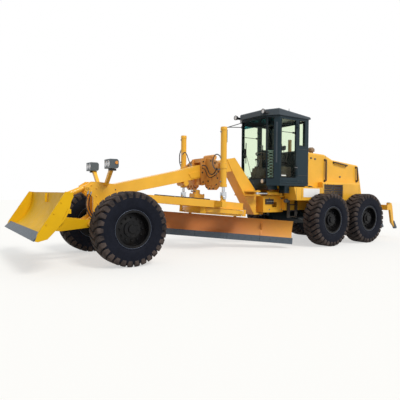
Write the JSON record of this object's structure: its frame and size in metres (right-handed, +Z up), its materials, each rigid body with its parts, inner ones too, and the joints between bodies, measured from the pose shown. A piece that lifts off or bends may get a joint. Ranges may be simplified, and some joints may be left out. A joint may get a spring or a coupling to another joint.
{
  "type": "motor grader",
  "caption": "Articulated motor grader with a turning blade under its main beam, a box blade in front, a ripper behind, a closed cab and a tandem drive.",
  "frame": {"origin": "on the ground, at the middle of the machine's length and width", "axes": "+X forward along the machine, +Y to its left, +Z up"},
  "size_m": [10.763, 2.9137, 3.432],
  "materials": {
    "yellow_paint": "satin",
    "cab_paint": "satin",
    "dark_paint": "satin",
    "rim_paint": "satin",
    "tyre": "matt",
    "steel": "worn",
    "edge_steel": "worn",
    "chrome": "polished",
    "cast_iron": "rough",
    "glass": "clear",
    "seat_fabric": "woven"
  },
  "bodies": {
    "rear_frame": {"rear_frame": "yellow_paint", "tandem_drive": "cab_paint", "engine": "cast_iron", "hood": "yellow_paint", "grilles": "dark_paint", "exhaust": "steel", "side_boxes": "yellow_paint", "steps": "dark_paint", "handrails": "dark_paint", "cab": "cab_paint", "cab_roof": "cab_paint", "cab_glass": "glass", "seat": "seat_fabric", "controls": "dark_paint"},
    "door_left": {"door_left": "cab_paint", "door_left_glass": "glass"},
    "door_right": {"door_right": "cab_paint", "door_right_glass": "glass"},
    "front_frame": {"gooseneck": "yellow_paint", "front_axle": "yellow_paint", "saddle": "yellow_paint", "headlamps": "dark_paint"},
    "drawbar": {"drawbar": "yellow_paint", "circle_drive": "dark_paint"},
    "circle": {"circle": "yellow_paint", "blade_arms": "yellow_paint"},
    "blade": {"mouldboard": "yellow_paint", "cutting_edge": "edge_steel"},
    "front_blade": {"front_blade": "yellow_paint", "front_edge": "edge_steel"},
    "front_cylinder": {"front_cylinder": "yellow_paint"},
    "front_rod": {"front_rod": "chrome"},
    "ripper": {"ripper": "yellow_paint"},
    "ripper_cylinder": {"ripper_cylinder": "yellow_paint"},
    "ripper_rod": {"ripper_rod": "chrome"},
    "knuckle_left": {"knuckle_left": "yellow_paint"},
    "knuckle_right": {"knuckle_right": "yellow_paint"},
    "tie_rod": {"tie_rod": "yellow_paint"},
    "steering_cylinder": {"steering_cylinder": "yellow_paint"},
    "steering_rod": {"steering_rod": "chrome"},
    "hinge_cylinder_left": {"hinge_cylinder_left": "yellow_paint"},
    "hinge_rod_left": {"hinge_rod_left": "chrome"},
    "lift_cylinder_left": {"lift_cylinder_left": "yellow_paint"},
    "lift_rod_left": {"lift_rod_left": "chrome"},
    "hinge_cylinder_right": {"hinge_cylinder_right": "yellow_paint"},
    "hinge_rod_right": {"hinge_rod_right": "chrome"},
    "lift_cylinder_right": {"lift_cylinder_right": "yellow_paint"},
    "lift_rod_right": {"lift_rod_right": "chrome"},
    "wheel_front_left": {"tyre_front_left": "tyre", "rim_front_left": "rim_paint"},
    "wheel_front_right": {"tyre_front_right": "tyre", "rim_front_right": "rim_paint"},
    "wheel_middle_left": {"tyre_middle_left": "tyre", "rim_middle_left": "rim_paint"},
    "wheel_middle_right": {"tyre_middle_right": "tyre", "rim_middle_right": "rim_paint"},
    "wheel_rear_left": {"tyre_rear_left": "tyre", "rim_rear_left": "rim_paint"},
    "wheel_rear_right": {"tyre_rear_right": "tyre", "rim_rear_right": "rim_paint"}
  },
  "joints": [
    {"name": "wheel_front_left_spin", "type": "hinge", "parent": "knuckle_left", "child": "wheel_front_left", "pos_m": [3.7, 1.08, 0.675], "axis": [0, 1, 0], "continuous": true},
    {"name": "wheel_front_right_spin", "type": "hinge", "parent": "knuckle_right", "child": "wheel_front_right", "pos_m": [3.7, -1.08, 0.675], "axis": [0, 1, 0], "continuous": true},
    {"name": "wheel_middle_left_spin", "type": "hinge", "parent": "rear_frame", "child": "wheel_middle_left", "pos_m": [-1.774, 1.08, 0.675], "axis": [0, 1, 0], "continuous": true},
    {"name": "wheel_middle_right_spin", "type": "hinge", "parent": "rear_frame", "child": "wheel_middle_right", "pos_m": [-1.774, -1.08, 0.675], "axis": [0, 1, 0], "continuous": true},
    {"name": "wheel_rear_left_spin", "type": "hinge", "parent": "rear_frame", "child": "wheel_rear_left", "pos_m": [-3.324, 1.08, 0.675], "axis": [0, 1, 0], "continuous": true},
    {"name": "wheel_rear_right_spin", "type": "hinge", "parent": "rear_frame", "child": "wheel_rear_right", "pos_m": [-3.324, -1.08, 0.675], "axis": [0, 1, 0], "continuous": true},
    {"name": "articulation", "type": "hinge", "parent": "rear_frame", "child": "front_frame", "pos_m": [-0.4, 0, 1.06], "axis": [0, 0, -1], "range_deg": [-25, 25]},
    {"name": "hinge_cylinder_left_swing", "type": "hinge", "parent": "rear_frame", "child": "hinge_cylinder_left", "pos_m": [-0.8, 0.39, 1.335], "axis": [0, 0, -1], "range_deg": [-13, 13]},
    {"name": "hinge_rod_left_slide", "type": "slide", "parent": "hinge_cylinder_left", "child": "hinge_rod_left", "axis": [1, 0, 0], "range_m": [-0.175, 0.175]},
    {"name": "hinge_cylinder_right_swing", "type": "hinge", "parent": "rear_frame", "child": "hinge_cylinder_right", "pos_m": [-0.8, -0.39, 1.335], "axis": [0, 0, -1], "range_deg": [-13, 13]},
    {"name": "hinge_rod_right_slide", "type": "slide", "parent": "hinge_cylinder_right", "child": "hinge_rod_right", "axis": [1, 0, 0], "range_m": [-0.175, 0.175]},
    {"name": "steering", "type": "hinge", "parent": "front_frame", "child": "knuckle_left", "pos_m": [3.7, 0.79, 0.675], "axis": [0, 0, 1], "range_deg": [-40, 40]},
    {"name": "knuckle_right_turn", "type": "hinge", "parent": "front_frame", "child": "knuckle_right", "pos_m": [3.7, -0.79, 0.675], "axis": [0, 0, 1], "range_deg": [-40, 40]},
    {"name": "tie_rod_turn", "type": "hinge", "parent": "knuckle_left", "child": "tie_rod", "pos_m": [3.45, 0.79, 0.625], "axis": [0, 0, 1], "range_deg": [-40, 40]},
    {"name": "steering_cylinder_swing", "type": "hinge", "parent": "front_frame", "child": "steering_cylinder", "pos_m": [3.51, 0.25, 0.715], "axis": [0, 0, 1], "range_deg": [-3, 3]},
    {"name": "steering_rod_slide", "type": "slide", "parent": "steering_cylinder", "child": "steering_rod", "axis": [0.0571, 0.9984, 0], "range_m": [-0.11, 0.11]},
    {"name": "blade_lift", "type": "hinge", "parent": "front_frame", "child": "drawbar", "pos_m": [3.43, 0, 1], "axis": [0, 1, 0], "range_deg": [-8, 3]},
    {"name": "circle_turn", "type": "hinge", "parent": "drawbar", "child": "circle", "pos_m": [1.07993, 0, 0.80679], "axis": [-0.0819, 0, 0.9966], "continuous": true},
    {"name": "blade_shift", "type": "slide", "parent": "circle", "child": "blade", "axis": [-0.8042, 0.5906, -0.0661], "range_m": [-0.45, 0.45]},
    {"name": "lift_cylinder_left_swing", "type": "hinge", "parent": "front_frame", "child": "lift_cylinder_left", "pos_m": [1.38859, 0.835, 1.92], "axis": [0, 1, 0], "range_deg": [-3, 3]},
    {"name": "lift_rod_left_slide", "type": "slide", "parent": "lift_cylinder_left", "child": "lift_rod_left", "axis": [0, 0, 1], "range_m": [-0.29, 0.11]},
    {"name": "lift_cylinder_right_swing", "type": "hinge", "parent": "front_frame", "child": "lift_cylinder_right", "pos_m": [1.38859, -0.835, 1.92], "axis": [0, 1, 0], "range_deg": [-3, 3]},
    {"name": "lift_rod_right_slide", "type": "slide", "parent": "lift_cylinder_right", "child": "lift_rod_right", "axis": [0, 0, 1], "range_m": [-0.29, 0.11]},
    {"name": "front_blade_lift", "type": "hinge", "parent": "front_frame", "child": "front_blade", "pos_m": [4.15, 0, 0.72], "axis": [0, -1, 0], "range_deg": [-28, 5]},
    {"name": "front_cylinder_swing", "type": "hinge", "parent": "front_frame", "child": "front_cylinder", "pos_m": [4.165, 0, 1.415], "axis": [0, -1, 0], "range_deg": [-17, 4]},
    {"name": "front_rod_slide", "type": "slide", "parent": "front_cylinder", "child": "front_rod", "axis": [0.9215, 0, -0.3884], "range_m": [-0.06, 0.3]},
    {"name": "ripper_lift", "type": "hinge", "parent": "rear_frame", "child": "ripper", "pos_m": [-4.38, 0, 0.76], "axis": [0, 1, 0], "range_deg": [-32, 4]},
    {"name": "ripper_cylinder_swing", "type": "hinge", "parent": "rear_frame", "child": "ripper_cylinder", "pos_m": [-4.33, 0, 1.18], "axis": [0, 1, 0], "range_deg": [-22, 3]},
    {"name": "ripper_rod_slide", "type": "slide", "parent": "ripper_cylinder", "child": "ripper_rod", "axis": [-0.9781, 0, -0.2081], "range_m": [-0.03, 0.22]},
    {"name": "door_left_open", "type": "hinge", "parent": "rear_frame", "child": "door_left", "pos_m": [-1.035, 0.736, 2.45], "axis": [0, 0, 1], "range_deg": [0, 85]},
    {"name": "door_right_open", "type": "hinge", "parent": "rear_frame", "child": "door_right", "pos_m": [-1.035, -0.736, 2.45], "axis": [0, 0, -1], "range_deg": [0, 85]}
  ],
  "couplings": [
    {"joint": "hinge_cylinder_left_swing", "follows": "articulation", "ratio": 0.5},
    {"joint": "hinge_rod_left_slide", "follows": "articulation", "m_per_rad": 0.38691},
    {"joint": "hinge_cylinder_right_swing", "follows": "articulation", "ratio": 0.5},
    {"joint": "hinge_rod_right_slide", "follows": "articulation", "m_per_rad": -0.38691},
    {"joint": "knuckle_right_turn", "follows": "steering", "ratio": 1},
    {"joint": "tie_rod_turn", "follows": "steering", "ratio": -1},
    {"joint": "steering_cylinder_swing", "follows": "steering", "ratio": -0.0427},
    {"joint": "steering_rod_slide", "follows": "steering", "m_per_rad": -0.14818},
    {"joint": "lift_cylinder_left_swing", "follows": "blade_lift", "ratio": -0.173},
    {"joint": "lift_rod_left_slide", "follows": "blade_lift", "m_per_rad": 2.0446},
    {"joint": "lift_cylinder_right_swing", "follows": "blade_lift", "ratio": -0.173},
    {"joint": "lift_rod_right_slide", "follows": "blade_lift", "m_per_rad": 2.0446},
    {"joint": "front_cylinder_swing", "follows": "front_blade_lift", "ratio": 0.5802},
    {"joint": "front_rod_slide", "follows": "front_blade_lift", "m_per_rad": -0.60907},
    {"joint": "ripper_cylinder_swing", "follows": "ripper_lift", "ratio": 0.6572},
    {"joint": "ripper_rod_slide", "follows": "ripper_lift", "m_per_rad": -0.37302}
  ]
}
